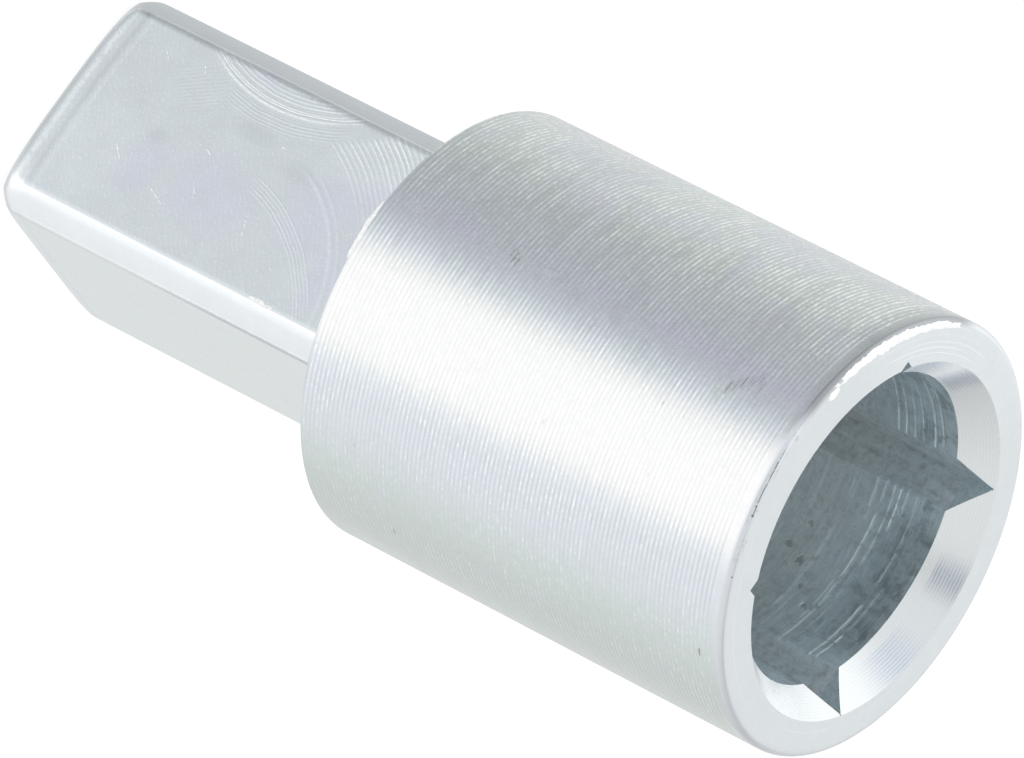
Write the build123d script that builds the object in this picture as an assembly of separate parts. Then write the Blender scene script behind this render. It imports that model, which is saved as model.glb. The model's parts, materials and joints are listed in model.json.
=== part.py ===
from build123d import *
import math
import os

# Square drive shared by both ends
spindle_size = 8.0            # across the flats of the standard door spindle
socket_clearance = 0.15       # how much wider the socket is than that spindle

# Turned and milled tang, which stands on its end face
tang_length = 14.0            # end face to shoulder
corner_rise = 1.175           # turned corner land above the flat, along the radius
end_radius = 0.5              # rounding of the corners and flats at the end face

# Socket, from the mouth inwards
countersink_depth = 0.7
countersink_width = 0.7       # along the radius
bore_oversize = 0.9           # drilled wall beyond the square's flats, along the radius
broach_depth = 11.0           # square part of the socket, from the mouth
chip_room = 1.5               # full bore left below the square
drill_point_angle = 118.0     # included angle at the bottom of the bore

# Turned sleeve
rim_width = 1.25              # flat ring round the countersink
mouth_edge_break = 0.12       # chamfer on the outer edge of the mouth
shoulder_edge_break = 0.05    # chamfer on the outer edge of the shoulder
web_thickness = 3.65          # full bore to shoulder

# Sizes that follow
tang_half = spindle_size / 2
land_radius = tang_half + corner_rise
socket_size = spindle_size + socket_clearance
bore_radius = socket_size / 2 + bore_oversize
countersink_radius = bore_radius + countersink_width
sleeve_radius = countersink_radius + rim_width
bore_depth = broach_depth + chip_room
sleeve_length = bore_depth + web_thickness
mouth_z = tang_length + sleeve_length
drill_point_height = bore_radius / math.tan(math.radians(drill_point_angle / 2))
tool_overrun = rim_width      # cutting tools start this far outside the metal
square_sides = 4


def turned_blank():
    """Tang blank with its rounded end, shoulder and sleeve, turned about Z."""
    land_start = Vector(land_radius - end_radius, 0)
    land_corner = Vector(land_radius, end_radius)
    outline = Line((0, 0), land_start)
    outline += RadiusArc(land_start, land_corner, -end_radius)
    outline += Polyline(
        land_corner,
        (land_radius, tang_length),
        (sleeve_radius - shoulder_edge_break, tang_length),
        (sleeve_radius, tang_length + shoulder_edge_break),
        (sleeve_radius, mouth_z - mouth_edge_break),
        (sleeve_radius - mouth_edge_break, mouth_z),
        (0, mouth_z),
        (0, 0),
    )
    return revolve(Plane.XZ * make_face(outline), Axis.Z)


def flat_cutter(side):
    """Metal taken off the blank to leave one flat of the tang and its rounded end."""
    reach = land_radius + tool_overrun
    end_start = Vector(tang_half - end_radius, 0)
    flat_start = Vector(tang_half, end_radius)
    outline = RadiusArc(end_start, flat_start, -end_radius)
    outline += Polyline(
        flat_start,
        (tang_half, tang_length),
        (reach, tang_length),
        (reach, -tool_overrun),
        (tang_half - end_radius, -tool_overrun),
        end_start,
    )
    cutter = extrude(Plane.XZ * make_face(outline), amount=reach, both=True)
    return Rot(0, 0, side * 360 / square_sides) * cutter


def drilled_hole():
    """Countersink, bore and drill point, cut from the mouth."""
    countersink_slope = countersink_width / countersink_depth
    outer_radius = countersink_radius + tool_overrun * countersink_slope
    outline = Polyline(
        (0, mouth_z + tool_overrun),
        (outer_radius, mouth_z + tool_overrun),
        (bore_radius, mouth_z - countersink_depth),
        (bore_radius, mouth_z - bore_depth),
        (0, mouth_z - bore_depth - drill_point_height),
        (0, mouth_z + tool_overrun),
    )
    return revolve(Plane.XZ * make_face(outline), Axis.Z)


def broached_square():
    """Square whose corners run down the bore as four V grooves."""
    height = broach_depth + tool_overrun
    block = Box(socket_size, socket_size, height, align=(Align.CENTER, Align.CENTER, Align.MIN))
    return Pos(0, 0, mouth_z - broach_depth) * block


def spindle_extension():
    """The whole part: one piece of steel with a square tang and a square socket."""
    body = turned_blank()
    for side in range(square_sides):
        body -= flat_cutter(side)
    body -= drilled_hole()
    body -= broached_square()
    return body


os.makedirs("parts", exist_ok=True)
export_step(spindle_extension(), "parts/spindle_extension.step")
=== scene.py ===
import json
import math
import bpy
from mathutils import Matrix, Vector


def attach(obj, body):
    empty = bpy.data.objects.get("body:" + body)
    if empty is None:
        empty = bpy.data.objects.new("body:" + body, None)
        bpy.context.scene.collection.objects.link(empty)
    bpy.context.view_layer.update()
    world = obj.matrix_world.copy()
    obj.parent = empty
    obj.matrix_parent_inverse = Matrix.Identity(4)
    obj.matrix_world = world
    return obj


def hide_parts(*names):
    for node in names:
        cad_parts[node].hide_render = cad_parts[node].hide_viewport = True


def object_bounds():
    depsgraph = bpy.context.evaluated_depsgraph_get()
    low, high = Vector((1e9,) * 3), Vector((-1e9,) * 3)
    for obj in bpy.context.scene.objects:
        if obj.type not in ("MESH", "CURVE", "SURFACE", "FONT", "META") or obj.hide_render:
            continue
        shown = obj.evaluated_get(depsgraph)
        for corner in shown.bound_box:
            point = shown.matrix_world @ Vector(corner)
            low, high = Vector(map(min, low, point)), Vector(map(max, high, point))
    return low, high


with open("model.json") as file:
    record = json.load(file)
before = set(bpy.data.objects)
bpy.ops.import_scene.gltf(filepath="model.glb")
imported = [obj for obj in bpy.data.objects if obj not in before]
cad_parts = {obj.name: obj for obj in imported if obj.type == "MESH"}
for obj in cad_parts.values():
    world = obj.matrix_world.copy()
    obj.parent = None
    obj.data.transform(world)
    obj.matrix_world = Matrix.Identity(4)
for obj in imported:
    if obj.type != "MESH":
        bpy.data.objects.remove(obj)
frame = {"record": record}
cadLow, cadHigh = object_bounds()
bpy.context.scene.view_settings.view_transform = "Standard"
mm = 0.001
fullTurn = 2 * math.pi
mounts = {mount["name"]: mount for mount in frame["record"]["mounts"]}
print("frame loaded")


class Wire:
    # one socket of a node tree, so that node maths reads like sums
    def __init__(self, board, socket):
        self.board = board
        self.socket = socket

    def __add__(self, other):
        return self.board.maths("ADD", self, other)

    def __radd__(self, other):
        return self.board.maths("ADD", other, self)

    def __sub__(self, other):
        return self.board.maths("SUBTRACT", self, other)

    def __rsub__(self, other):
        return self.board.maths("SUBTRACT", other, self)

    def __mul__(self, other):
        return self.board.maths("MULTIPLY", self, other)

    def __rmul__(self, other):
        return self.board.maths("MULTIPLY", other, self)

    def __truediv__(self, other):
        return self.board.maths("DIVIDE", self, other)

    def __rtruediv__(self, other):
        return self.board.maths("DIVIDE", other, self)

    def __pow__(self, other):
        return self.board.maths("POWER", self, other)


class Board:
    # adds nodes to one tree, whether it makes a shape, a finish or the light
    def __init__(self, tree):
        self.tree = tree

    def feed(self, socket, value):
        if isinstance(value, list):
            for each in value:
                self.feed(socket, each)
        elif isinstance(value, Wire):
            self.tree.links.new(value.socket, socket)
        else:
            socket.default_value = value

    def node(self, kind, settings=None, sockets=None, out=0):
        made = self.tree.nodes.new(kind)
        for name, value in (settings or {}).items():
            if name == "stops":
                self.setStops(made.color_ramp, value)
            else:
                setattr(made, name, value)
        for name, value in (sockets or {}).items():
            self.feed(made.inputs[name], value)
        if isinstance(out, (list, tuple)):
            return [Wire(self, made.outputs[each]) for each in out]
        return Wire(self, made.outputs[out]) if len(made.outputs) else made

    def setStops(self, ramp, stops):
        while len(ramp.elements) < len(stops):
            ramp.elements.new(0.5)
        for element, (place, colour) in zip(ramp.elements, stops):
            element.position = place
            element.color = colour

    def maths(self, operation, *values):
        return self.node("ShaderNodeMath", {"operation": operation}, dict(enumerate(values)))

    def most(self, *values):
        result = values[0]
        for value in values[1:]:
            result = self.maths("MAXIMUM", result, value)
        return result

    def split(self, vector):
        return self.node("ShaderNodeSeparateXYZ", None, {0: vector}, out=(0, 1, 2))

    def join(self, x, y, z):
        return self.node("ShaderNodeCombineXYZ", None, {0: x, 1: y, 2: z})

    def distance(self, a, b):
        return self.node("ShaderNodeVectorMath", {"operation": "DISTANCE"}, {0: a, 1: b}, out="Value")

    def scale(self, vector, factor):
        return self.node("ShaderNodeVectorMath", {"operation": "SCALE"}, {0: vector, "Scale": factor})

    def blend(self, factor, a, b):
        return a + (b - a) * factor

    def mixColour(self, factor, a, b, kind="MIX"):
        settings = {"data_type": "RGBA", "blend_type": kind}
        return self.node("ShaderNodeMix", settings, {0: factor, 6: a, 7: b}, out=2)

    def ramp(self, value, low, high, toLow=0.0, toHigh=1.0, soft=False):
        settings = {"interpolation_type": "SMOOTHSTEP" if soft else "LINEAR"}
        return self.node("ShaderNodeMapRange", settings, {0: value, 1: low, 2: high, 3: toLow, 4: toHigh})

    def bell(self, value, centre, width):
        # 1 at the centre, falling to 0 one width away on both sides
        return self.ramp(self.maths("ABSOLUTE", value - centre), width, 0, soft=True)

    def window(self, value, low, high, fade):
        # 1 between low and high, fading out over a short stretch beyond both
        return self.ramp(value, low - fade, low, soft=True) * self.ramp(value, high + fade, high, soft=True)

    def wave(self, value, pitch):
        return 0.5 + 0.5 * self.maths("COSINE", value * (fullTurn / pitch))

    def noise(self, vector, scale, detail=2.0, rough=0.5, warp=0.0):
        sockets = {"Vector": vector, "Scale": scale, "Detail": detail, "Roughness": rough, "Distortion": warp}
        return self.node("ShaderNodeTexNoise", {"noise_dimensions": "3D"}, sockets)

    def byAzimuth(self, azimuth, levels, brightest=2.0):
        # colour ramps hold values up to one, so the levels are divided and multiplied again
        stops = [((angle + 180) / 360, (level / brightest,) * 3 + (1.0,))
                 for angle, level in sorted(levels.items())]
        stops.append((1.0, stops[0][1]))
        found = self.node("ShaderNodeValToRGB", {"stops": stops}, {0: azimuth / 360 + 0.5})
        return self.scale(found, brightest)

    def cos(self, degrees):
        return self.maths("COSINE", self.maths("RADIANS", degrees))

    def sin(self, degrees):
        return self.maths("SINE", self.maths("RADIANS", degrees))


# the part's shape, in mm and degrees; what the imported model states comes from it
part = {
    "overallLength": (cadHigh.z - cadLow.z) / mm,
    "sleeveRadius": (cadHigh.x - cadLow.x) / 2 / mm,
    "tangLength": mounts["shoulder"]["pos_m"][2] / mm,
    "flatHeight": mounts["tang_flat_right"]["pos_m"][0] / mm,
    "boreRadius": mounts["socket_bore"]["dims"]["r_mm"],
    "landRadius": 5.175,           # turned corners of the tang
    "landEdge": 0.09,              # softness of the edge between flat and land
    "endSoftness": 1.7,            # the same edge gets softer at the tang's end
    "endSoftLength": 0.95,
    "endRounding": 0.37,           # how far the end is rounded inwards, and along the tang
    "endRoundLength": 0.8,
    "endSkew": 0.012,              # the end is cut slightly out of square
    "shoulderBreak": 0.05,
    "grooveDepth": 0.009,
    "grooveUneven": 1.5,
    "smoothBand": 0.2,             # plain strip beside the mouth
    "mouthRounding": 0.2,
    "countersinkRadius": 5.666,
    "countersinkOffset": 0.195,    # the countersink sits off the axis
    "countersinkAzimuth": 95.7,
    "countersinkSlope": 1.17,      # depth for each mm inwards
    "socketHalf": 4.085,
    "socketTurn": 0.9,             # the broached square is turned against the tang
    "cornerReach": 5.9,            # two of its corners are partly filled by burrs
    "filledReach": 5.58,
    "broachDepth": 11.0,
    "boreDepth": 12.5,
    "pointHeight": 2.99,           # drilled point at the bottom
}
mesh = {
    "quarterColumns": 40,
    "edgeKnee": 11 / 20,           # columns spent on a flat, then on its edge
    "cornerKnee": 17 / 20,
    "edgeBefore": 2.6,             # degrees on each side of the tang's edge that get those columns
    "edgeAfter": 2.2,
    "grooveEdgeShare": 0.66,       # the same for the edge of a broached groove, as a share of what is left
    "groovePitch": 0.1637,
    "rowsPerGroove": 4,
    "grooveNoise": (1.6, 4.0, 0.7),
    "endFaceRows": 5,
    "endRows": 14,
    "tangRows": 24,
    "shoulderRows": 5,
    "bandRows": 3,
    "mouthEdgeRows": 9,
    "mouthRows": 8,
    "coneRows": 14,
    "boreRows": 60,
    "deepRows": 4,
    "pointRows": 8,
    "widestCorner": 44.5,          # the grooves never close up to a corner's own 45 degrees
    "mergeDistance": 0.002,
    "sharpAngle": 15.5,
}
sleeveStart = part["tangLength"] + part["shoulderBreak"]
bandStart = part["overallLength"] - part["mouthRounding"] - part["smoothBand"]
grooveCount = round((bandStart - sleeveStart) / mesh["groovePitch"])
groovePitch = (bandStart - sleeveStart) / grooveCount


class Shape(Board):
    # the outline of a form as rings of points, joined by patches from ring to ring
    def __init__(self, name, sizes):
        super().__init__(bpy.data.node_groups.new(name, "GeometryNodeTree"))
        for title in sizes:
            self.tree.interface.new_socket(name=title, in_out="INPUT", socket_type="NodeSocketFloat")
        self.tree.interface.new_socket(name="Metal", in_out="OUTPUT", socket_type="NodeSocketGeometry")
        entry = self.tree.nodes.new("NodeGroupInput")
        self.size = {title: Wire(self, entry.outputs[title]) for title in sizes}
        across, along, _ = self.split(self.node("GeometryNodeInputPosition"))
        self.turned = across + 0.5             # 0 to 1 once round
        self.run = along + 0.5                 # 0 to 1 along each patch
        self.patches = []

    def place(self, radius, azimuth, height):
        x, y = radius * self.cos(azimuth), radius * self.sin(azimuth)
        return self.join(x * mm, y * mm, height * mm)

    def patch(self, columns, rows, position, material):
        sizes = {"Size X": 1.0, "Size Y": 1.0, "Vertices X": columns + 1, "Vertices Y": rows + 1}
        grid = self.node("GeometryNodeMeshGrid", None, sizes)
        shaped = self.node("GeometryNodeSetPosition", None, {"Geometry": grid, "Position": position})
        coated = self.node("GeometryNodeSetMaterial", None, {"Geometry": shaped, "Material": material})
        self.patches.append(coated)

    def finish(self):
        joined = self.node("GeometryNodeJoinGeometry", None, {"Geometry": self.patches[::-1]})
        merged = self.node("GeometryNodeMergeByDistance", None,
                           {"Geometry": joined, "Distance": mesh["mergeDistance"] * mm})
        bend = self.node("GeometryNodeInputMeshEdgeAngle")
        creased = self.maths("GREATER_THAN", bend, math.radians(mesh["sharpAngle"]))
        smooth = self.node("GeometryNodeSetShadeSmooth", {"domain": "FACE"}, {"Geometry": merged})
        sharp = self.node("GeometryNodeSetShadeSmooth", {"domain": "EDGE"},
                          {"Geometry": smooth, "Selection": creased, "Shade Smooth": False})
        real = self.node("GeometryNodeRealizeInstances", None, {"Geometry": sharp})
        self.node("NodeGroupOutput", None, {"Metal": real})

    def meshObject(self, objectName, sizes):
        carrier = bpy.data.objects.new(objectName + "Tree", bpy.data.meshes.new(objectName + "Seed"))
        bpy.context.scene.collection.objects.link(carrier)
        modifier = carrier.modifiers.new("shape", "NODES")
        modifier.node_group = self.tree
        for item in self.tree.interface.items_tree:
            if item.in_out == "INPUT":
                modifier[item.identifier] = float(sizes[item.name])
        evaluated = carrier.evaluated_get(bpy.context.evaluated_depsgraph_get())
        made = bpy.data.objects.new(objectName, bpy.data.meshes.new_from_object(evaluated))
        bpy.context.scene.collection.objects.link(made)
        bpy.data.objects.remove(carrier)
        return made


def buildPart(finishes):
    shape = Shape("turnedMilledBroached", part)
    size = shape.size
    columns = 4 * mesh["quarterColumns"]
    quarter = shape.maths("FLOOR", shape.turned * 4 + 0.5)
    offFlat = shape.turned * 4 - quarter
    side = shape.maths("SIGN", offFlat)
    cornerShare = shape.maths("ABSOLUTE", offFlat) * 2

    def lean(edge, past):
        # angle from the middle of a flat; the columns crowd between edge and past
        flat = shape.ramp(cornerShare, 0, mesh["edgeKnee"], 0, edge)
        rounded = shape.ramp(cornerShare, mesh["edgeKnee"], mesh["cornerKnee"], 0, past - edge)
        return flat + rounded + shape.ramp(cornerShare, mesh["cornerKnee"], 1, 0, 45 - past)

    def azimuth(angle):
        return quarter * 90 + side * angle

    even = azimuth(cornerShare * 45)
    run = shape.run

    # the tang's section: four flats and four turned lands
    landLean = shape.maths("DEGREES", shape.maths("ARCCOSINE", size["flatHeight"] / size["landRadius"]))
    tangLean = lean(landLean - mesh["edgeBefore"], landLean + mesh["edgeAfter"])
    tangAzimuth = azimuth(tangLean)

    def tangRadius(inset, softness):
        flat = (size["flatHeight"] - inset) / shape.cos(tangLean)
        return shape.maths("SMOOTH_MIN", flat, size["landRadius"] - inset, size["landEdge"] + softness)

    def endRadius(height):
        missing = shape.ramp(height, 0, size["endRoundLength"], 1, 0)
        inset = size["endRounding"] * (1 - shape.maths("SQRT", 1 - missing * missing))
        return tangRadius(inset, size["endSoftness"] * shape.ramp(height, size["endSoftLength"], 0) ** 2)

    def ring(rows, radius, angle, height, finish):
        shape.patch(columns, rows, shape.place(radius, angle, height), finishes[finish])

    skew = size["endSkew"] * (size["landRadius"] + size["landRadius"] * shape.sin(tangAzimuth))
    endRise = run * run * size["endRoundLength"]
    endFace = shape.blend(run, size["endSkew"] * size["landRadius"], skew)
    ring(mesh["endFaceRows"], endRadius(run * 0) * run, tangAzimuth, endFace, "tang")
    ring(mesh["endRows"], endRadius(endRise), tangAzimuth, skew + endRise, "tang")
    tangRise = shape.blend(run, skew + size["endRoundLength"], size["tangLength"])
    ring(mesh["tangRows"], endRadius(tangRise - skew), tangAzimuth, tangRise, "tang")

    # shoulder and sleeve
    brokenRadius = size["sleeveRadius"] - size["shoulderBreak"]
    ring(mesh["shoulderRows"], shape.blend(run, tangRadius(0, 0), brokenRadius),
         shape.blend(run, tangAzimuth, even), size["tangLength"], "sleeve")
    ring(1, brokenRadius + run * size["shoulderBreak"], even,
         size["tangLength"] + run * size["shoulderBreak"], "sleeve")
    groove = run * grooveCount
    turnNumber = shape.maths("FLOOR", groove + 0.01)
    share = groove - turnNumber
    spot = shape.join(shape.cos(even) * 3, shape.sin(even) * 3, turnNumber * 0.71)
    wander = shape.noise(spot, *mesh["grooveNoise"])
    scallop = shape.most(share * (1 - share) * 4, 0)
    grooved = size["grooveDepth"] * scallop * shape.most(1 + size["grooveUneven"] * (wander - 0.5) * 2, 0.2)
    height = shape.blend(run, size["tangLength"] + size["shoulderBreak"], bandStart)
    ring(grooveCount * mesh["rowsPerGroove"], size["sleeveRadius"] - grooved, even, height, "sleeve")
    ring(mesh["bandRows"], size["sleeveRadius"], even, bandStart + run * size["smoothBand"], "sleeve")
    bend = run * 90
    ring(mesh["mouthEdgeRows"], size["sleeveRadius"] - size["mouthRounding"] * (1 - shape.cos(bend)), even,
         size["overallLength"] - size["mouthRounding"] * (1 - shape.sin(bend)), "mouth")

    # countersink, off the axis, cut by the four corners of the broached square
    def rimRadius(angle):
        return size["countersinkRadius"] + size["countersinkOffset"] * shape.cos(angle - size["countersinkAzimuth"])

    def coneRadius(angle, sunk):
        return shape.blend(sunk, rimRadius(angle), size["boreRadius"])

    def grooveEdge(sunk):
        edge = 45.0
        for _ in range(3):
            reach = coneRadius(azimuth(edge) + size["socketTurn"], sunk)
            found = shape.maths("ARCCOSINE", size["socketHalf"] / reach)
            edge = shape.maths("MINIMUM", shape.maths("DEGREES", found), mesh["widestCorner"])
        return edge

    def socketRing(sunk):
        edge = grooveEdge(sunk)
        angle = lean(edge, edge + (45 - edge) * mesh["grooveEdgeShare"])
        turnedTo = azimuth(angle) + size["socketTurn"]
        cone = coneRadius(turnedTo, sunk)
        filled = shape.most(shape.bell(turnedTo, -134, 16), shape.bell(turnedTo, -44, 16) * 0.75)
        limit = shape.blend(filled, size["cornerReach"], size["filledReach"])
        square = shape.maths("MINIMUM", size["socketHalf"] / shape.cos(angle), limit)
        return shape.most(cone, square), turnedTo, (rimRadius(turnedTo) - cone) * size["countersinkSlope"]

    mouthRadius, mouthAzimuth, _ = socketRing(run * 0)
    faceRadius = size["sleeveRadius"] - size["mouthRounding"]
    ring(mesh["mouthRows"], shape.blend(run, faceRadius, mouthRadius),
         shape.blend(run, even, mouthAzimuth), size["overallLength"], "mouth")
    coneReach, coneAzimuth, coneDepth = socketRing(run)
    ring(mesh["coneRows"], coneReach, coneAzimuth, size["overallLength"] - coneDepth, "cone")

    # bore wall, with the four grooves down to the end of the broaching
    boreReach, boreAzimuth, boreStart = socketRing(run * 0 + 1)
    boreSink = shape.blend(run, boreStart, size["broachDepth"])
    ring(mesh["boreRows"], boreReach, boreAzimuth, size["overallLength"] - boreSink, "bore")
    ring(1, shape.blend(run, boreReach, size["boreRadius"]), boreAzimuth,
         size["overallLength"] - size["broachDepth"], "bore")
    deepSink = shape.blend(run, size["broachDepth"], size["boreDepth"])
    ring(mesh["deepRows"], size["boreRadius"], boreAzimuth, size["overallLength"] - deepSink, "bore")
    pointEnd = size["overallLength"] - size["boreDepth"] - size["pointHeight"] * run
    ring(mesh["pointRows"], size["boreRadius"] * (1 - run), boreAzimuth, pointEnd, "bore")
    shape.finish()
    return shape.meshObject("spindleExtension", part)


class Finish(Board):
    # a metal finish, drawn in the part's own millimetres and degrees
    def __init__(self, name, constants):
        self.material = bpy.data.materials.new(name)
        self.material.use_nodes = True
        super().__init__(self.material.node_tree)
        self.shader = self.tree.nodes["Principled BSDF"]
        for title, value in constants.items():
            self.shader.inputs[title].default_value = value
        self.spot = self.scale(self.node("ShaderNodeTexCoord", out="Object"), 1 / mm)
        self.x, self.y, self.z = self.split(self.spot)
        self.radius = self.away(self.x, self.y)
        self.azimuth = self.maths("DEGREES", self.maths("ARCTAN2", self.y, self.x))
        self.ragged, self.stretch = self.spot, 1.0

    def away(self, u, v):
        return self.maths("SQRT", u * u + v * v)

    def fullAzimuth(self):
        # from 0 to 360, for zones that lie across the back
        return self.maths("MODULO", self.azimuth + 360, 360)

    def pits(self, places, radius=None):
        # dark specks at given heights and azimuths, each with its own size
        found = 0.0
        for height, angle, size in places:
            reach = radius or part["sleeveRadius"]
            turn = math.radians(angle)
            spot = (reach * math.cos(turn), reach * math.sin(turn), height * self.stretch)
            found = self.most(self.ramp(self.distance(self.ragged, spot), size, size * 0.4, soft=True), found)
        return found

    def streak(self, u, v, start, end, width):
        # a straight scratch from start to end
        length = math.dist(start, end)
        du, dv = (end[0] - start[0]) / length, (end[1] - start[1]) / length
        along = (u - start[0]) * du + (v - start[1]) * dv
        along = self.maths("MINIMUM", self.most(along, 0), length)
        return self.ramp(self.away(u - start[0] - along * du, v - start[1] - along * dv), width, 0, soft=True)

    def ringsAbout(self, u, v, centre):
        return self.away(u - centre[0], v - centre[1])

    def cloud(self, u, v, centre, reach):
        # soft oval patch
        return self.ramp(self.away((u - centre[0]) / reach[0], (v - centre[1]) / reach[1]), 1, 0.3, soft=True)

    def done(self, colour, roughness, height):
        self.feed(self.shader.inputs["Base Color"], colour)
        self.feed(self.shader.inputs["Roughness"], roughness)
        bump = self.node("ShaderNodeBump", None, {"Strength": 1.0, "Distance": mm, "Height": height})
        self.feed(self.shader.inputs["Normal"], bump)
        return self.material


# burrs left by the tools, each a ragged bead along a path, tapered at both ends
burrs = {
    "around": 12,
    "rowsPerMm": 14,
    "ragged": 0.8,
    "cells": 5.0,                  # lumps in each mm
    "fewestRows": 8,
    "beadSpacing": 9.0,            # keeps the lumps of one bead unlike those of the next
    # start and end as radius, azimuth and height; half sizes outwards, round the axis (degrees) and along it
    "beads": [
        ((6.72, -158.0, 30.12), (6.70, -126.0, 30.12), (0.13, 0, 0), (0, 0, 0.05)),
        ((6.68, -146.0, 30.12), (6.71, -101.0, 30.12), (0.19, 0, 0), (0, 0, 0.05)),
        ((6.60, -105.6, 30.13), (6.58, -100.6, 30.13), (0.17, 0, 0), (0, 0, 0.05)),
        ((5.12, -51.7, 10.1), (5.12, -51.1, 11.1), (0.07, 0, 0), (0, 1.0, 0)),
        ((6.91, -94.0, 14.0), (6.91, -77.0, 14.0), (0.06, 0, 0), (0, 0, 0.075)),
        ((4.22, -109.5, 13.97), (4.27, -104.5, 13.97), (0.05, 0, 0), (0, 0, 0.05)),
    ],
}


def buildBurrs(finish):
    shape = Shape("raggedBeads", {})
    body = shape.maths("SQRT", shape.most(4 * shape.run * (1 - shape.run), 0))
    for index, (start, end, wide, tall) in enumerate(burrs["beads"]):
        # the section turns the other way on beads that run round the axis, so that all faces point outwards
        section = shape.turned * (360 if end[2] > start[2] else -360)
        middle = [shape.blend(shape.run, first, last) for first, last in zip(start, end)]
        length = math.dist((math.radians(start[1]) * start[0], start[2]), (math.radians(end[1]) * end[0], end[2]))
        path = shape.run * length * burrs["cells"] + index * burrs["beadSpacing"]
        lumps = shape.noise(shape.join(shape.cos(section) * 0.8, shape.sin(section) * 0.8, path), 1.0, 2.0)
        reach = body * (1 + (lumps - 0.5) * 2 * burrs["ragged"])
        across, up = shape.cos(section) * reach, shape.sin(section) * reach
        moved = [value + across * side + up * rise for value, side, rise in zip(middle, wide, tall)]
        rows = max(burrs["fewestRows"], round(length * burrs["rowsPerMm"]))
        shape.patch(burrs["around"], rows, shape.place(*moved), finish)
    shape.finish()
    return shape.meshObject("tornEdges", {})


# plated steel where it was turned, with one groove to each turn of the lathe
sleeveLook = {
    "colour": (0.76, 0.812, 0.85, 1.0),
    "greenish": (0.755, 0.83, 0.805, 1.0),
    "lilac": (0.79, 0.80, 0.885, 1.0),
    "plain": (0.81, 0.815, 0.815, 1.0),
    "roughness": 0.19,
    # azimuths from which, and to which, each change fades in
    "tornFrom": (-91, -99),        # the tool tore the steel
    "flankFrom": (-100, -94),      # light moves over from one flank of each groove to the other
    "flanks": (0.22, 0.76),        # and where those flanks lie across the groove
    "dashesFrom": (-108, -124),
    "greenFrom": (-104, -122),
    "lowGreenFrom": (-38, -24),
    "dimFrom": (-42, -30),
    # painted: neutral colour over the azimuths where the white highlight falls
    "neutralHighlightZone": (-81, -58, 6),    # first, last and fade
    "lilacZones": [(-97, 8), (-45, 12)],   # centre and half width
    # azimuth: how much darker the flank of each groove is painted, as painted shade on the flank that mirrors the
    # darker side
    "lineShade": {-180: 0.06, -128: 0.06, -104: 0.05, -99: 0.07, -94: 0.09, -89: 0.15, -86: 0.18, -82: 0.14,
                  -78: 0.07, -69: 0.04, -60: 0.05, -55: 0.11, -49: 0.10, -44: 0.09, -34: 0.04, -14: 0.03,
                  60: 0.05},
    # painted highlight: light dashes along one flank of each groove
    "glint": 0.46,                 # light dashes along one flank of each groove
    "grain": 0.16,                 # tone of the small cells that the tool tore
    "cellDepth": 0.006,            # and how deep they are, in mm
    "cellSize": 0.09,
    "turnStep": 7.31,              # steps through the noises from one turn of the lathe to the next
    "livelyStep": 3.7,
    "dashStep": 5.3,
    "dashesPerMm": 4.5,
    "pitStretch": 4.5,             # pits run along the groove
    "pitShade": 0.5,
    "pitDepth": 0.006,
    # painted shade: darker strips beside the mouth: height, azimuth span with fade, shade
    "shadeBands": [((29.15, 29.45), (-152, -123, 8), 0.13), ((29.7, 29.85), (-154, -92, 8), 0.1)],
    # height, azimuth, length along the groove
    "pits": [(18.98, -95.6, 0.26), (18.83, -96.4, 0.3), (18.66, -97.2, 0.2), (27.42, -91.2, 0.36),
             (27.6, -92.6, 0.34), (27.95, -95.2, 0.36), (28.12, -97.0, 0.34), (28.28, -95.0, 0.3),
             (27.75, -94.0, 0.32), (18.45, -80.4, 0.13), (25.85, -80.4, 0.1), (26.65, -80.4, 0.13),
             (26.45, -63.4, 0.1), (16.15, -34.4, 0.13), (17.15, -29.4, 0.14), (17.35, -11.4, 0.2),
             (15.85, -8.4, 0.16), (29.35, -26.4, 0.2), (29.9, -50.5, 0.15), (29.75, -47.5, 0.1),
             (22.0, 38.0, 0.2), (19.4, 112.0, 0.3), (25.1, 170.0, 0.25)],
}


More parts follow.
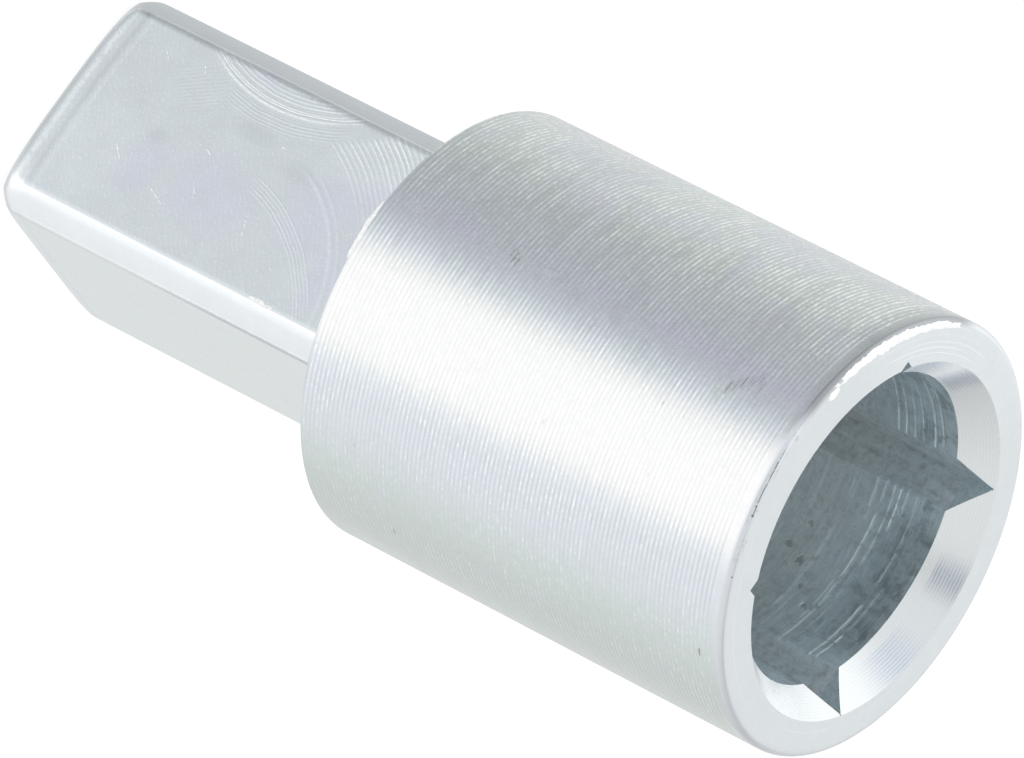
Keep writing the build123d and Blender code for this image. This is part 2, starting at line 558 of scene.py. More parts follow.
def sleeveFinish():
    look = sleeveLook
    finish = Finish("turnedSleeve", {"Metallic": 1.0})
    x, y, z, azimuth = finish.x, finish.y, finish.z, finish.azimuth
    turns = (z - sleeveStart) / groovePitch
    turnNumber = finish.maths("FLOOR", turns)
    share = turns - turnNumber             # 0 to 1 across one groove
    grooved = finish.window(z, sleeveStart, bandStart, 0.02)
    valley = share * (1 - share) * 4 * grooved

    # noises that change from turn to turn
    perMm = 1 / look["cellSize"]
    cell = finish.noise(finish.join(x * perMm, y * perMm, turnNumber * look["turnStep"] + share), 1.0, 2.0, 0.6)
    byTurn = finish.noise(finish.join(x * 1.3, y * 1.3, turnNumber * look["livelyStep"]), 1.0, 3.0, 0.7)
    dashPath = finish.join(x * look["dashesPerMm"], y * look["dashesPerMm"], turnNumber * look["dashStep"])
    dash = finish.noise(dashPath, 1.0, 3.0, 0.65)

    # noises that run over all turns
    mottle = finish.noise(finish.join(x, y, z), 3.2, 3.0, 0.65)
    wide = finish.noise(finish.join(x * 0.5, y * 0.5, z * 0.35), 1.0, 2.0, 0.5, 0.6)
    hue = finish.noise(finish.join(x, y, z), 1.5, 2.0, 0.6)
    stain = finish.noise(finish.join(x, y, z * 1.6), 1.9, 4.0, 0.7)

    finish.ragged = finish.join(x + (cell - 0.5) * 0.1, y, z * look["pitStretch"] + (cell - 0.5) * 0.25)
    finish.stretch = look["pitStretch"]
    pits = finish.pits(look["pits"]) * finish.ramp(valley, 0.2, 0.9)
    dirt = finish.ramp(stain, 0.66, 0.78) * 0.3

    # painted highlight dashes on one flank of each groove, painted shade on the other
    torn = finish.ramp(azimuth, *look["tornFrom"])
    left, right = look["flanks"]
    litFlank = finish.ramp(azimuth, *look["flankFrom"], left, right)
    dimFlank = finish.ramp(azimuth, *look["flankFrom"], right, left)
    lively = finish.ramp(byTurn, 0.36, 0.60, 0.2, 1.9)
    dash = finish.ramp(dash, 0.44, 0.64) * finish.ramp(cell, 0.3, 0.6, 0.5, 1.2)
    glint = finish.bell(share, litFlank, 0.27) * dash * grooved * lively * finish.ramp(wide, 0.4, 0.6, 0.45, 1.3)
    glint = glint * look["glint"] * finish.ramp(azimuth, *look["dashesFrom"], 0.3, 1.0)
    dim = finish.bell(share, dimFlank, 0.36) * grooved
    lineShade, _, _ = finish.split(finish.byAzimuth(azimuth, look["lineShade"], 1.0))
    grain = look["grain"] * (0.2 + torn * 0.8) * (cell - 0.5) * 2
    shaded = lineShade * dim * finish.ramp(byTurn, 0.3, 0.65, 0.7, 1.3)
    tone = 1 - shaded + glint + grain + 0.05 * (mottle - 0.5) * 2
    # painted shade in strips beside the mouth
    (lowShade, highShade) = [finish.ramp(z, *heights) * finish.window(azimuth, *span) * shade
                           for heights, span, shade in look["shadeBands"]]
    tone = tone * (1 - (lowShade + highShade)) * finish.ramp(azimuth, *look["dimFrom"], 1.0, 0.985)
    tone = tone * (1 - pits * look["pitShade"]) * (1 - dirt * finish.ramp(cell, 0.4, 0.62))

    # the plating's colours: random patches, plus tints set by azimuth that are a painted reflection of tinted
    # surroundings
    green = finish.ramp(wide, 0.40, 0.56, soft=True) * finish.ramp(azimuth, *look["greenFrom"], soft=True)
    lowGreen = finish.ramp(azimuth, *look["lowGreenFrom"]) * 0.95
    green = finish.most(green, finish.ramp(hue, 0.58, 0.68) * 0.35, lowGreen)
    colour = finish.mixColour(green, look["colour"], look["greenish"])
    highLilac, lowLilac = [finish.bell(azimuth, *zone) for zone in look["lilacZones"]]
    lilac = highLilac * finish.ramp(wide, 0.62, 0.45)
    lilac = finish.most(lilac, lowLilac * 0.3, finish.ramp(hue, 0.44, 0.34) * 0.35)
    colour = finish.mixColour(lilac, colour, look["lilac"])
    # painted: neutral colour where the white highlight falls on the sleeve
    colour = finish.mixColour(finish.window(azimuth, *look["neutralHighlightZone"]), colour, look["plain"])

    roughness = look["roughness"] + 0.1 * (mottle - 0.5) + pits * 0.2
    cells = (cell - 0.5) * look["cellDepth"] * grooved * (0.15 + torn * 0.85)
    height = cells + (mottle - 0.5) * 0.002 - pits * look["pitDepth"]
    return finish.done(finish.scale(colour, tone), roughness, height)


# the milled flats and turned corners of the tang; u is the height above the end, v lies across a flat
tangLook = {
    "colour": (0.845, 0.895, 0.93, 1.0),
    "lilac": (0.84, 0.86, 0.95, 1.0),
    "greenish": (0.83, 0.905, 0.91, 1.0),
    "land": (0.85, 0.882, 0.912, 1.0),
    "roughness": 0.27,
    "otherFlats": 0.55,            # strength of the milling marks on the flats turned away
    "rightFlat": 0.1,
    "lineDepth": 0.0055,
    "lineShine": 0.18,
    # arcs that the milling cutter left: centre, inner and outer radius, pitch, sharpness, changes in each mm
    "arcs": {
        "edge": ((6.85, -8.26), 4.95, 5.92, 0.125, 1.5, 6.0),
        "faint": ((6.85, -8.26), 6.1, 6.55, 0.11, 1.2, 5.0),
        "corner": ((6.65, 3.94), 6.6, 9.2, 0.163, 2.0, 2.2),
        "low": ((6.3, 6.5), 6.45, 6.9, 0.115, 1.2, 5.0),
    },
    "longArcCentre": (7.25, 3.8),
    "hatch": ((4.3, -1.9), (1.6, 1.1)),      # centre and reach of a patch of crossed lines
    "warmPatch": ((2.1, 1.3), (1.9, 2.6)),
    # azimuth and half width of the painted highlight and painted shade lines along the corners
    "highlightEdge": (-49.3, 2.6),
    "darkRight": (-39.2, 1.5),
    "darkTop": (-129.0, 1.2),
    "shadedLand": (-142, -130.5, 2),         # first, last and fade
    "landZone": (-50, -40, 2),
    "scratchWidth": 0.032,
    "brightest": 1.15,
    "scratches": [((2.95, 0.80), (3.35, 1.18)), ((4.95, 1.58), (5.55, 1.85)), ((2.3, 0.2), (2.45, 0.36)),
                  ((5.4, -0.35), (5.62, -0.25)), ((5.75, -0.3), (5.95, -0.2)), ((3.9, -2.62), (4.05, -2.4)),
                  ((8.35, 1.0), (8.6, 1.6)), ((7.95, -1.42), (8.1, -1.36)), ((10.05, 2.08), (10.2, 2.14)),
                  ((9.7, 3.0), (9.82, 3.06)), ((2.3, -2.6), (2.75, -2.2)), ((6.2, 0.9), (6.35, 1.25))],
    "lilacPatches": [((4.1, 1.1), (1.1, 1.3)), ((6.7, 0.9), (2.2, 1.7)), ((10.4, 0.0), (1.9, 2.0)),
                     ((6.1, -3.1), (0.5, 0.3)), ((11.9, 1.5), (0.9, 2.2)), ((11.7, -1.3), (0.7, 0.9))],
    "darkPatches": [((6.9, -1.4), (1.1, 0.5)), ((4.0, 0.0), (0.5, 0.4)), ((9.0, -0.9), (0.9, 0.5))],
}


def tangFinish():
    look = tangLook
    finish = Finish("milledTang", {"Metallic": 1.0})
    x, y, z = finish.x, finish.y, finish.z
    near, on = part["flatHeight"] - 0.1, part["flatHeight"] - 0.04
    front, back = finish.ramp(y, -near, -on), finish.ramp(y, near, on)
    right, left = finish.ramp(x, near, on), finish.ramp(x, -near, -on)
    onSides = finish.most(right, left)
    u, v = z, finish.blend(onSides, x, y)
    strength = finish.most(front, finish.most(back, left) * look["otherFlats"], right * look["rightFlat"])
    mottle = finish.noise(finish.spot, 6.0, 4.0, 0.65)
    patchy = finish.noise(finish.spot, 0.9, 3.0, 0.55, 0.5)
    uneven = finish.noise(finish.join(x * 0.8, y * 0.8, z * 0.8), 1.3, 3.0)

    def cutterArcs(name):
        centre, inner, outer, pitch, sharp, lively = look["arcs"][name]
        away = finish.ringsAbout(u, v, centre)
        lines = finish.wave(away + (uneven - 0.5) * 0.1, pitch) ** sharp
        each = finish.noise(finish.join(away * lively, 0.0, 0.0), 1.0, 1.0)
        return away, lines * finish.window(away, inner, outer, 0.08) * finish.ramp(each, 0.35, 0.6, 0.35, 1.0)

    # sets of arcs, each only where the photo shows it
    # the arcs are real milling marks, painted lighter as highlights, with a painted lighter halo about them
    edgeAway, edgeArcs = cutterArcs("edge")
    edgeArcs = edgeArcs * finish.window(u, 4.3, 9.6, 0.8) * finish.ramp(edgeAway, 5.0, 5.75, 0.3, 0.9)
    highlightArcs = finish.most(finish.bell(edgeAway, 5.86, 0.10), finish.bell(edgeAway, 5.68, 0.08) * 0.85)
    highlightArcs = highlightArcs * finish.window(u, 4.9, 8.4, 1.5)
    _, faintArcs = cutterArcs("faint")
    faintArcs = faintArcs * finish.window(u, 5.6, 9.2, 0.8) * 0.4
    _, cornerArcs = cutterArcs("corner")
    cornerArcs = cornerArcs * finish.ramp(edgeAway, 6.35, 6.6) * finish.ramp(u, 8.7, 9.3)
    cornerArcs = cornerArcs * finish.ramp(v, -0.2, -2.6, 0.3, 1.0)
    shoulderAway = finish.ringsAbout(u, v, look["longArcCentre"])
    longArc = finish.bell(shoulderAway, 5.2, 0.12) * finish.window(u, 9.6, 12.2, 0.8)
    longArc = longArc + finish.bell(shoulderAway, 5.45, 0.09) * finish.window(u, 10.0, 12.4, 0.8) * 0.6
    _, lowArcs = cutterArcs("low")
    lowArcs = lowArcs * finish.window(u, 8.2, 11.7, 0.6) * 0.45
    hatch = finish.wave(u * 0.5 + v * 0.87 + (uneven - 0.5) * 0.1, 0.13) ** 2
    hatch = hatch * finish.cloud(u, v, *look["hatch"]) * 0.2
    grain = finish.wave(u * 0.87 - v * 0.5 + (uneven - 0.5) * 0.6, 0.17) ** 3
    grain = grain * finish.ramp(mottle, 0.45, 0.62) * 0.22
    arcs = finish.most(edgeArcs, highlightArcs, faintArcs, cornerArcs * 0.9, longArc * 0.5, lowArcs, hatch, grain)
    arcs = arcs * strength * finish.ramp(mottle, 0.35, 0.6, 0.45, 1.0)
    halo = finish.bell(edgeAway, 5.6, 0.6) * finish.window(u, 4.6, 9.0, 1.0)
    halo = finish.most(halo, finish.window(edgeAway, 6.7, 9.0, 0.4) * finish.window(v, -3.6, -1.8, 1.0)
                       * finish.ramp(u, 9.0, 10.5)) * strength

    scratches = 0.0
    for start, end in look["scratches"]:
        scratches = finish.most(finish.streak(u, v, start, end, look["scratchWidth"]), scratches)
    scratches = scratches * strength * finish.ramp(mottle, 0.4, 0.6)

    lilac, dusky = finish.ramp(patchy, 0.62, 0.72) * 0.5, 0.0
    for centre, reach in look["lilacPatches"]:
        lilac = finish.most(finish.cloud(u, v, centre, reach) * front, lilac)
    for centre, reach in look["darkPatches"]:
        dusky = finish.most(finish.cloud(u, v, centre, reach) * front, dusky)
    lilac = lilac * finish.ramp(mottle, 0.25, 0.55) * finish.ramp(uneven, 0.3, 0.5, 0.4, 1.0)
    green = finish.ramp(patchy, 0.5, 0.62) * 0.7

    # corners: a painted highlight along the one beside the front flat, painted shade along the others
    edgeHighlight = finish.bell(finish.azimuth, *look["highlightEdge"]) * finish.ramp(z, 0.3, 0.8)
    edgeHighlight = edgeHighlight * finish.ramp(mottle, 0.2, 0.5, 0.5, 1.0)
    ragged = finish.azimuth + (mottle - 0.5) * 1.6
    edgeShade = finish.bell(ragged, *look["darkRight"]) * finish.ramp(z, 5.0, 9.0, 0.1, 0.34)
    edgeShade = edgeShade + finish.bell(ragged, *look["darkTop"]) * 0.22 * finish.ramp(z, 0.5, 1.1)
    shadedLand = finish.window(finish.azimuth, *look["shadedLand"]) * (1 - front) * 0.165

    # painted highlight and shade lines across each flat, where the end's rounding begins
    bowed = z + (uneven - 0.5) * 0.15 - v * v * 0.012
    flatEnd = finish.most(front, right * 0.5, back, left)
    endShadeLine = finish.bell(bowed, 0.98, 0.17) * 0.10 * flatEnd
    endHighlight = finish.bell(bowed, 0.56, 0.16) * front * finish.ramp(mottle, 0.4, 0.56)
    endHighlight = endHighlight * finish.ramp(uneven, 0.35, 0.55) * 0.3
    endHighlight = endHighlight + finish.bell(z, 0.75, 0.5) * finish.bell(finish.azimuth, -52, 8) * 0.2
    endInnerHighlight = finish.bell(bowed, 1.25, 0.12) * front * finish.ramp(mottle, 0.3, 0.5) * 0.06
    endShade = finish.ramp(z, 0.35, 0.1) * 0.12

    tone = 1 + arcs * look["lineShine"] + halo * 0.05 + scratches * 0.14 + (mottle - 0.5) * 0.02
    tone = tone + finish.cloud(u, v, *look["warmPatch"]) * front * 0.05
    tone = tone + (patchy - 0.5) * 0.07 + (uneven - 0.5) * 0.08 + edgeHighlight * 0.11 + endHighlight + endInnerHighlight
    # painted light: the right flat is made lighter
    tone = tone - edgeShade - shadedLand - endShadeLine - endShade - dusky * 0.06 + right * 0.11
    colour = finish.mixColour(green, look["colour"], look["greenish"])
    colour = finish.mixColour(lilac, colour, look["lilac"])
    colour = finish.mixColour(finish.window(finish.azimuth, *look["landZone"]), colour, look["land"])
    roughness = look["roughness"] + (mottle - 0.5) * 0.08 - arcs * 0.06
    height = (arcs * look["lineDepth"] + scratches * 0.004 + (mottle - 0.5) * 0.0003
              + (patchy - 0.5) * 0.004)
    return finish.done(finish.scale(colour, finish.maths("MINIMUM", tone, look["brightest"])), roughness, height)


# the faced ring round the socket and its rounded outer edge
mouthLook = {
    "colour": (0.80, 0.845, 0.87, 1.0),
    "edge": (0.765, 0.795, 0.835, 1.0),
    "roughness": 0.3,
    "ringPitch": 0.075,
    "crackRadius": 6.818,
    "crackWidth": 0.025,
    "crackZone": (-82, -67, 3),    # first, last and fade
    "darkShade": 0.72,             # of crack and specks
    "grimeShade": 0.22,
    "grimeRing": (6.66, 6.86, 0.06),
    "grimeZones": [(-92, -58, 8), (20, 170, 20)],
    "shadowZone": (206, 262, 10),  # rounded edge turned to the dark side
    "shadow": 0.45,
    "paleZone": (170, 225, 25),
    # radius, half width, strength and azimuth span of the lines left by facing, painted lighter as highlights,
    # counted from 0 to 360
    "rings": [(6.03, 0.035, 1.0, 206, 232), (5.86, 0.03, 0.7, 196, 226), (6.2, 0.04, 0.6, 190, 222),
              (6.42, 0.03, 0.4, 200, 240), (5.75, 0.03, 0.6, 60, 92), (6.1, 0.03, 0.4, 20, 70),
              (6.35, 0.04, 0.35, 300, 350)],
    "specks": [(30.15, -66.0, 0.07), (30.13, -68.5, 0.045), (30.15, -50.0, 0.05), (30.12, -143.0, 0.05),
               (30.15, 60.0, 0.05), (30.14, 139.0, 0.06)],
}


def mouthFinish():
    look = mouthLook
    finish = Finish("facedMouth", {"Metallic": 1.0})
    x, y, z = finish.x, finish.y, finish.z
    mottle = finish.noise(finish.spot, 4.0, 4.0, 0.65)
    patchy = finish.noise(finish.spot, 1.1, 3.0, 0.5)
    turned = finish.radius + (patchy - 0.5) * 0.06     # rings that are not quite round
    rings = finish.wave(turned, look["ringPitch"])
    byRing = finish.noise(finish.join(turned * 9.0, patchy * 2, 0.0), 1.0, 2.0)
    fromBack = finish.fullAzimuth()
    ringHighlight = 0.0
    for reach, width, strong, first, last in look["rings"]:
        line = finish.bell(turned, reach, width) * finish.window(fromBack, first, last, 7) * strong
        ringHighlight = finish.most(line, ringHighlight)
    onEdge = finish.ramp(finish.radius, part["sleeveRadius"] - part["mouthRounding"] - 0.05,
                         part["sleeveRadius"] - part["mouthRounding"] * 0.4, soft=True)
    wavy = finish.noise(finish.join(x, y, 0.0), 1.6, 3.0, 0.7)
    # the crack leans outwards along its length, and breaks off here and there
    crackPath = finish.radius + (wavy - 0.5) * 0.07 + (finish.azimuth + 73) * 0.0017
    broken = finish.ramp(finish.noise(finish.join(x, y, 3.0), 3.5, 3.0, 0.7), 0.40, 0.47)
    crack = finish.bell(crackPath, look["crackRadius"], look["crackWidth"])
    crack = crack * finish.window(finish.azimuth, *look["crackZone"]) * broken
    specks = finish.pits(look["specks"], look["crackRadius"])
    nearZone, farZone = look["grimeZones"]
    grime = finish.ramp(mottle, 0.55, 0.68) * finish.window(finish.radius, *look["grimeRing"])
    grime = grime * finish.most(finish.window(finish.azimuth, *nearZone), finish.window(fromBack, *farZone) * 0.5)
    dark = finish.most(crack, specks)
    tone = 1 + (mottle - 0.5) * 0.08 + (patchy - 0.5) * 0.06 + ringHighlight * 0.16
    tone = tone + (rings - 0.5) * 0.035 * finish.ramp(byRing, 0.35, 0.6)
    shadow = onEdge * finish.window(fromBack, *look["shadowZone"]) * look["shadow"]
    tone = tone + finish.window(fromBack, *look["paleZone"]) * 0.04
    tone = tone * (1 - dark * look["darkShade"]) * (1 - grime * look["grimeShade"]) * (1 - shadow)
    colour = finish.mixColour(onEdge * finish.ramp(patchy, 0.3, 0.55, 0.5, 1.0), look["colour"], look["edge"])
    roughness = look["roughness"] + (mottle - 0.5) * 0.1
    height = (rings - 0.5) * 0.0012 + (mottle - 0.5) * 0.003 - dark * 0.02 + ringHighlight * 0.002
    return finish.done(finish.scale(colour, tone), roughness, height)


# the countersink, where the cutter chattered in a few places; painted shade darkens those patches, standing in for
# dark reflections such as the lens
coneLook = {
    "colour": (0.82, 0.855, 0.865, 1.0),
    "chattered": (0.79, 0.855, 0.93, 1.0),
    "roughness": 0.28,
    "linePitch": 0.075,            # along the axis
    # azimuth, half width, how dark its painted shade is, how strong its lines are
    "chatterAndShade": [(105, 9, 0.12, 0.2), (74, 15, 0.02, 0.17), (187, 10, 0.20, 0.14), (210, 14, 0.02, 0.3),
                (-70, 14, 0.05, 0.15)],
    "plainLines": 0.04,            # strength of the lines elsewhere
    "lineDepth": 0.004,
    "mattZone": (196, 300, 14),    # first, last and fade
    "mattNear": (4, 28),           # centre and half width
    "lightNear": (6, 28),
    "grooveMetallic": 0.85,
    "grooveTone": 0.88,
    "speck": (29.98, 155.5, 0.06),
    "speckRadius": 5.7,
}


def coneFinish():
    look, grooveLook = coneLook, boreLook
    finish = Finish("countersink", {"Metallic": 1.0})
    depth = part["overallLength"] - finish.z
    mottle = finish.noise(finish.spot, 6.0, 3.0, 0.6)
    lines = finish.wave(depth + (mottle - 0.5) * 0.02, look["linePitch"])
    shade, scored, chattered = 0.0, look["plainLines"], 0.0
    fromBack = finish.fullAzimuth()
    for angle, reach, dark, strong in look["chatterAndShade"]:
        patch = finish.bell(fromBack, angle % 360, reach) * finish.window(depth, 0.06, 0.7, 0.12)
        shade = shade + patch * dark
        scored = scored + patch * strong
        chattered = finish.most(patch, chattered)
    speck = finish.pits([look["speck"]], look["speckRadius"])
    # matt plating, and painted light, where the wall would only mirror the dark socket
    matt = finish.most(finish.window(fromBack, *look["mattZone"]), finish.bell(finish.azimuth, *look["mattNear"]))
    offAxis = finish.cos(finish.azimuth - part["countersinkAzimuth"])
    rim = part["countersinkRadius"] + part["countersinkOffset"] * offAxis
    inGroove = finish.ramp(finish.radius - rim + depth / part["countersinkSlope"], 0.015, 0.03)
    metallic = finish.blend(inGroove, 1 - matt * 0.85, look["grooveMetallic"])
    finish.feed(finish.shader.inputs["Metallic"], metallic)
    # painted light: lighter over the matt zone and near azimuth 6
    tone = 1.0 - shade - scored * lines + (mottle - 0.5) * 0.05 + matt * 0.1
    tone = tone + finish.bell(finish.azimuth, *look["lightNear"]) * 0.3
    tone = tone * (1 - speck * 0.6)
    plating = finish.mixColour(chattered, look["colour"], look["chattered"])
    grooveColour = finish.scale(grooveLook["colour"][:3], look["grooveTone"] + (mottle - 0.5) * 0.6)
    colour = finish.mixColour(inGroove, finish.scale(plating, tone), grooveColour)
    roughness = finish.blend(inGroove, look["roughness"], grooveLook["roughness"]) + (mottle - 0.5) * 0.08
    height = lines * scored * look["lineDepth"] * (1 - inGroove) + (mottle - 0.5) * 0.001
    return finish.done(colour, roughness, height)


# drilled and broached wall of the socket, scored by the drill and dull with plating
boreLook = {
    "colour": (0.71, 0.815, 0.86, 1.0),
    "plain": (0.73, 0.765, 0.775, 1.0),
    "groove": (0.695, 0.76, 0.785, 1.0),
    "scored": (0.90, 1.0, 1.0, 1.0),
    "roughness": 0.48,
    # depth from the mouth, half width, strength and azimuth span of each scored ring, painted lighter as a
    # highlight
    "scores": [(1.79, 0.06, 1.0, 53, 68), (1.79, 0.05, 0.4, 74, 90), (2.02, 0.065, 1.0, 54, 82),
               (2.02, 0.05, 0.45, 94, 126), (2.38, 0.07, 0.8, 119, 128), (2.62, 0.05, 0.9, 112, 127),
               (3.5, 0.06, 0.8, 112, 126), (2.85, 0.05, 0.65, 97, 126),
               (2.86, 0.045, 0.4, 53, 76), (3.17, 0.065, 0.9, 54, 112), (3.18, 0.06, 0.7, 120, 127),
               (3.32, 0.05, 0.6, 69, 86), (4.07, 0.05, 0.5, 59, 74), (4.32, 0.065, 0.75, 68, 102),
               (4.3, 0.05, 0.4, 118, 127), (5.35, 0.06, 0.35, 100, 124), (5.9, 0.06, 0.35, 70, 96),
               (1.74, 0.06, 1.0, 146, 178), (1.45, 0.055, 0.9, 150, 186), (2.83, 0.06, 1.0, 146, 172),
               (3.12, 0.06, 1.0, 146, 178), (2.2, 0.05, 0.7, 148, 174), (2.5, 0.05, 0.6, 146, 168),
               (1.95, 0.06, 0.4, 2, 30),
               (2.9, 0.06, 0.4, 5, 28), (3.2, 0.06, 0.4, 200, 330), (2.1, 0.06, 0.4, 210, 320)],
    "scoreSpread": 1.45,           # how much wider they are than listed, with their soft edges
    "scoreDepth": 0.018,
    "scoreShine": 1.6,
    "dimZone": (70, 112, 12),      # first, last and fade
    "plainFrom": (2.6, 4.6),       # depths between which the colour turns plain
    "plainShare": 0.8,
    "cornerFrom": (5.58, 5.76),    # radii between which a groove's corner begins
    "tone": 1.06,
    "brightest": 1.3,
    "pitShade": 0.3,
    "pitDepth": 0.02,
    "pits": [(25.42, 88.0, 0.2), (24.78, 92.0, 0.18), (26.6, 73.0, 0.16), (27.75, 118.0, 0.14),
             (26.0, 80.0, 0.1), (25.1, 101.0, 0.12)],
}


def boreFinish():
    look = boreLook
    finish = Finish("drilledBore", {"Metallic": 0.85})
    x, y, z = finish.x, finish.y, finish.z
    depth = part["overallLength"] - z
    mottle = finish.noise(finish.spot, 3.2, 5.0, 0.72)
    blotch = finish.noise(finish.spot, 1.3, 3.0, 0.6, 0.4)
    finish.ragged = finish.join(x + (mottle - 0.5) * 0.5, y, z + (mottle - 0.5) * 0.4)
    drawn = finish.noise(finish.join(x * 0.7, y * 0.7, z * 7.0), 1.4, 3.0, 0.65)
    lengthwise = finish.noise(finish.join(x * 6.0, y * 6.0, z * 0.5), 1.0, 3.0, 0.6)
    inGroove = finish.ramp(finish.radius, part["boreRadius"] + 0.02, part["boreRadius"] + 0.08)
    cornerShade = finish.ramp(finish.radius, *look["cornerFrom"], soft=True)
    onWall = 1 - inGroove
    fromBack = finish.fullAzimuth()
    path = depth + (drawn - 0.5) * 0.04 + (mottle - 0.5) * 0.05
    scores = 0.0
    for place, width, strong, first, last in look["scores"]:
        line = finish.bell(path, place, width * look["scoreSpread"])
        line = line * finish.window(fromBack, first, last, 3) * strong
        scores = finish.most(line, scores)
    scores = scores * onWall * finish.ramp(mottle, 0.34, 0.5)
    wisps = finish.ramp(drawn, 0.57, 0.7) * finish.ramp(blotch, 0.45, 0.6) * onWall * finish.ramp(depth, 4.6, 3.0)
    pits = finish.pits(look["pits"], part["boreRadius"])
    nearMouth = finish.ramp(depth, 3.6, 1.6) * onWall
    dirt = finish.ramp(mottle, 0.56, 0.68) * 0.3 + finish.ramp(blotch, 0.5, 0.62) * nearMouth * 0.3
    dim = finish.ramp(depth, 3.2, 2.0) * onWall * finish.window(fromBack, *look["dimZone"]) * 0.3
    tone = look["tone"] + inGroove * (mottle - 0.5) * 0.5 + (drawn - 0.5) * 0.45 * onWall
    # painted shade in the corners of the grooves
    tone = tone + (lengthwise - 0.5) * 0.5 * inGroove + (mottle - 0.5) * 0.9 + wisps * 0.2 - cornerShade * 0.08 - dim
    tone = tone * (1 - pits * look["pitShade"]) * (1 - dirt)
    colour = finish.mixColour(inGroove, look["colour"], look["groove"])
    plain = finish.ramp(depth, *look["plainFrom"]) * look["plainShare"]
    colour = finish.mixColour(plain, colour, look["plain"])
    colour = finish.scale(colour, finish.maths("MINIMUM", tone, look["brightest"]))
    # painted highlight: the scored rings lightened towards near white
    colour = finish.mixColour(finish.maths("MINIMUM", scores * look["scoreShine"], 1.0), colour, look["scored"])
    roughness = look["roughness"] + (mottle - 0.5) * 0.3 - scores * 0.2
    height = (drawn - 0.5) * 0.012 * onWall + (lengthwise - 0.5) * 0.015 * inGroove
    height = height + (mottle - 0.5) * 0.01 - scores * look["scoreDepth"] - pits * look["pitDepth"]
    return finish.done(colour, roughness, height)


# raised, torn edges: ragged, and painted nearly white as a highlight
burrLook = {"colour": (0.97, 0.98, 0.98, 1.0), "roughness": 0.4, "metallic": 0.15, "bump": 0.02}


def burrFinish():
    look = burrLook
    finish = Finish("tornEdge", {"Metallic": look["metallic"]})
    rough = finish.noise(finish.spot, 9.0, 3.0, 0.7)
    tone = finish.ramp(rough, 0.3, 0.6, 0.88, 1.04)
    height = (rough - 0.5) * look["bump"]
    return finish.done(finish.scale(look["colour"][:3], tone), look["roughness"] + (rough - 0.5) * 0.2, height)


finishes = {
    "sleeve": sleeveFinish(),
    "tang": tangFinish(),
    "mouth": mouthFinish(),
    "cone": coneFinish(),
    "bore": boreFinish(),
}
print("finishes made")
spindle = buildPart(finishes)
tornEdges = buildBurrs(burrFinish())
for piece in (spindle, tornEdges):
    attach(piece, "root")
    print(piece.name, "has", len(piece.data.vertices), "points and", len(piece.data.polygons), "faces")
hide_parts("spindle_extension")


# studio: a pale tent whose brightness changes slowly round the part, as in a light box
tent = {
    # azimuth: brightness, as seen by surfaces that reflect steeply down, downwards, level and upwards
    "down": {-180: 0.69, -165: 0.60, -144: 0.54, -128: 0.55, -116: 0.66, -109: 0.92, -103: 1.14, -90: 1.22,
             -40: 1.22, -30: 1.17, -20: 1.08, -10: 1.02, 6: 0.92, 26: 0.83, 46: 0.76, 66: 0.75, 80: 0.79,
             105: 0.80, 145: 0.80, 165: 0.76},
    "lower": {-180: 0.66, -170: 0.575, -158: 0.53, -144: 0.515, -128: 0.525, -114: 0.57, -105: 0.68, -99: 0.85,
              -93: 1.05, -87: 1.17, -80: 1.23, -50: 1.23, -42: 1.24, -34: 1.14, -24: 0.975, -14: 0.99, 6: 0.92,
              26: 0.825, 46: 0.745, 66: 0.735, 80: 0.78, 105: 0.79, 145: 0.76, 165: 0.71},
    "middle": {-180: 0.97, -170: 0.86, -158: 0.78, -144: 0.69, -128: 0.63, -116: 0.62, -106: 0.70, -98: 0.88,
               -90: 1.14, -84: 1.23, -60: 1.23, -50: 1.2, -40: 1.05, -26: 0.93, -14: 0.92, 6: 0.88, 26: 0.82,
               46: 0.74, 66: 0.64, 80: 0.80, 105: 0.82, 130: 0.9, 150: 1.02, 166: 1.02},
    "upper": {-180: 1.25, -169: 1.22, -160: 1.1, -152: 0.96, -140: 0.87, -75: 0.88, -30: 0.87, 3: 0.87,
              28: 0.78, 49: 0.71, 65: 0.60, 85: 0.76, 106: 0.88, 125: 1.1, 140: 1.2, 164: 1.25},
    "downFrom": -37.0,
    "downFull": -53.0,
    "middleFrom": -31.0,
    "middleFull": -12.0,
    "upperFrom": -3.0,
    "upperFull": 14.0,
    # azimuth: how cool the light is; below one it is warm
    "cool": {-180: 1.0, -150: 1.0, -130: 1.02, -108: 1.02, -88: 1.0, -30: 1.0, -20: 1.0, 40: 1.0, 60: 0.997},
    # dark spot where the photographer's lens stood, in degrees
    "lens": {"azimuth": -74.4, "elevation": 47.5, "size": 13.0, "dark": 0.35, "tone": (0.2, 0.2, 0.2, 1.0)},
    "white": (1.0, 1.0, 1.0, 1.0),  # background, as the camera sees it
}


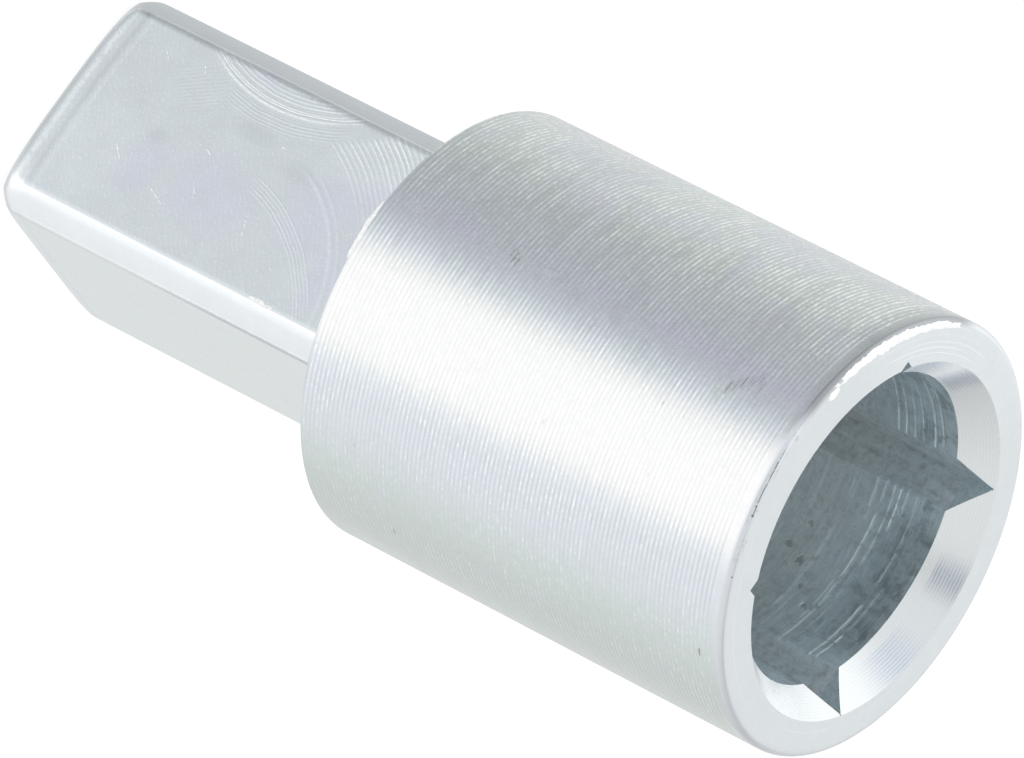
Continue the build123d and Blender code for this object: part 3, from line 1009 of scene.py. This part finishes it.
def buildTent():
    world = bpy.data.worlds.new("tent")
    world.use_nodes = True
    bpy.context.scene.world = world
    board = Board(world.node_tree)
    world.node_tree.nodes.clear()
    direction = board.node("ShaderNodeTexCoord", out="Generated")
    x, y, z = board.split(direction)
    azimuth = board.maths("DEGREES", board.maths("ARCTAN2", y, x))
    elevation = board.maths("DEGREES", board.maths("ARCSINE", z))

    middle = board.ramp(elevation, tent["middleFrom"], tent["middleFull"], soft=True)
    upper = board.ramp(elevation, tent["upperFrom"], tent["upperFull"], soft=True)
    down = board.ramp(elevation, tent["downFrom"], tent["downFull"], soft=True)
    seen = board.mixColour(down, board.byAzimuth(azimuth, tent["lower"]), board.byAzimuth(azimuth, tent["down"]))
    seen = board.mixColour(middle, seen, board.byAzimuth(azimuth, tent["middle"]))
    seen = board.mixColour(upper, seen, board.byAzimuth(azimuth, tent["upper"]))
    cool, _, _ = board.split(board.byAzimuth(azimuth, tent["cool"]))
    tint = board.join(1 / cool, 1.0, cool)
    seen = board.node("ShaderNodeVectorMath", {"operation": "MULTIPLY"}, {0: seen, 1: tint})
    lens = tent["lens"]
    turn, rise = math.radians(lens["azimuth"]), math.radians(lens["elevation"])
    aim = (math.cos(rise) * math.cos(turn), math.cos(rise) * math.sin(turn), math.sin(rise))
    near = board.node("ShaderNodeVectorMath", {"operation": "DOT_PRODUCT"}, {0: direction, 1: aim}, out="Value")
    away = board.maths("DEGREES", board.maths("ARCCOSINE", near))
    spot = board.ramp(away, lens["size"], lens["size"] * 0.6, soft=True)
    seen = board.mixColour(spot * lens["dark"], seen, lens["tone"])
    straight, through = board.node("ShaderNodeLightPath", out=("Is Camera Ray", "Is Transmission Ray"))
    colour = board.mixColour(board.most(straight, through), seen, tent["white"])
    light = board.node("ShaderNodeBackground", None, {"Color": colour, "Strength": 1.0})
    board.node("ShaderNodeOutputWorld", None, {"Surface": light})


floor = {
    "size": 4.0,
    "colour": (0.93, 0.93, 0.93, 1.0),
    "glow": 0.72,                  # share of plain white that the camera sees in place of the lit floor
    "white": 1.15,
}


def buildFloor():
    half = floor["size"] / 2
    data = bpy.data.meshes.new("floor")
    corners = [(-half, -half, 0), (half, -half, 0), (half, half, 0), (-half, half, 0)]
    data.from_pydata(corners, [], [(0, 1, 2, 3)])
    material = bpy.data.materials.new("paleFloor")
    material.use_nodes = True
    material.node_tree.nodes.clear()
    board = Board(material.node_tree)
    matt = board.node("ShaderNodeBsdfDiffuse", None, {"Color": floor["colour"]})
    white = board.node("ShaderNodeEmission", None, {"Color": (1.0, 1.0, 1.0, 1.0), "Strength": floor["white"]})
    rays = board.node("ShaderNodeLightPath", out="Is Camera Ray")
    mixed = board.node("ShaderNodeMixShader", None, {0: rays * floor["glow"], 1: matt, 2: white})
    board.node("ShaderNodeOutputMaterial", None, {"Surface": mixed})
    data.materials.append(material)
    made = bpy.data.objects.new("floor", data)
    made.visible_glossy = False
    bpy.context.scene.collection.objects.link(made)


lamp = {"place": (0.12, -0.06, 0.5), "size": 0.35, "power": 0.6}


def buildLamp():
    data = bpy.data.lights.new("softTop", "AREA")
    data.shape = "DISK"
    data.size = lamp["size"]
    data.energy = lamp["power"]
    made = bpy.data.objects.new("softTop", data)
    made.location = lamp["place"]
    made.rotation_euler = (-Vector(lamp["place"])).to_track_quat("-Z", "Y").to_euler()
    made.visible_glossy = False
    bpy.context.scene.collection.objects.link(made)


# camera as it stood for the photograph, in mm in the part's own frame
camera = {
    "place": (74.328, -263.158, 188.203),
    "right": (-0.5651, 0.3335, 0.7546),
    "back": (0.2284, -0.8157, 0.5315),
    "lens": 383.5,
    "sensor": 36.0,
    "near": 0.01,                  # in metres
    "far": 10.0,
}


def buildCamera():
    data = bpy.data.cameras.new("camera")
    data.lens = camera["lens"]
    data.sensor_width = camera["sensor"]
    data.clip_start = camera["near"]
    data.clip_end = camera["far"]
    made = bpy.data.objects.new("camera", data)
    back = Vector(camera["back"]).normalized()
    right = Vector(camera["right"])
    right = (right - back * right.dot(back)).normalized()
    up = back.cross(right)
    turned = Matrix((right, up, back)).transposed().to_4x4()
    made.matrix_world = Matrix.Translation(Vector(camera["place"]) * mm) @ turned
    bpy.context.scene.collection.objects.link(made)
    bpy.context.scene.camera = made


buildTent()
buildFloor()
buildLamp()
buildCamera()
print("studio built")
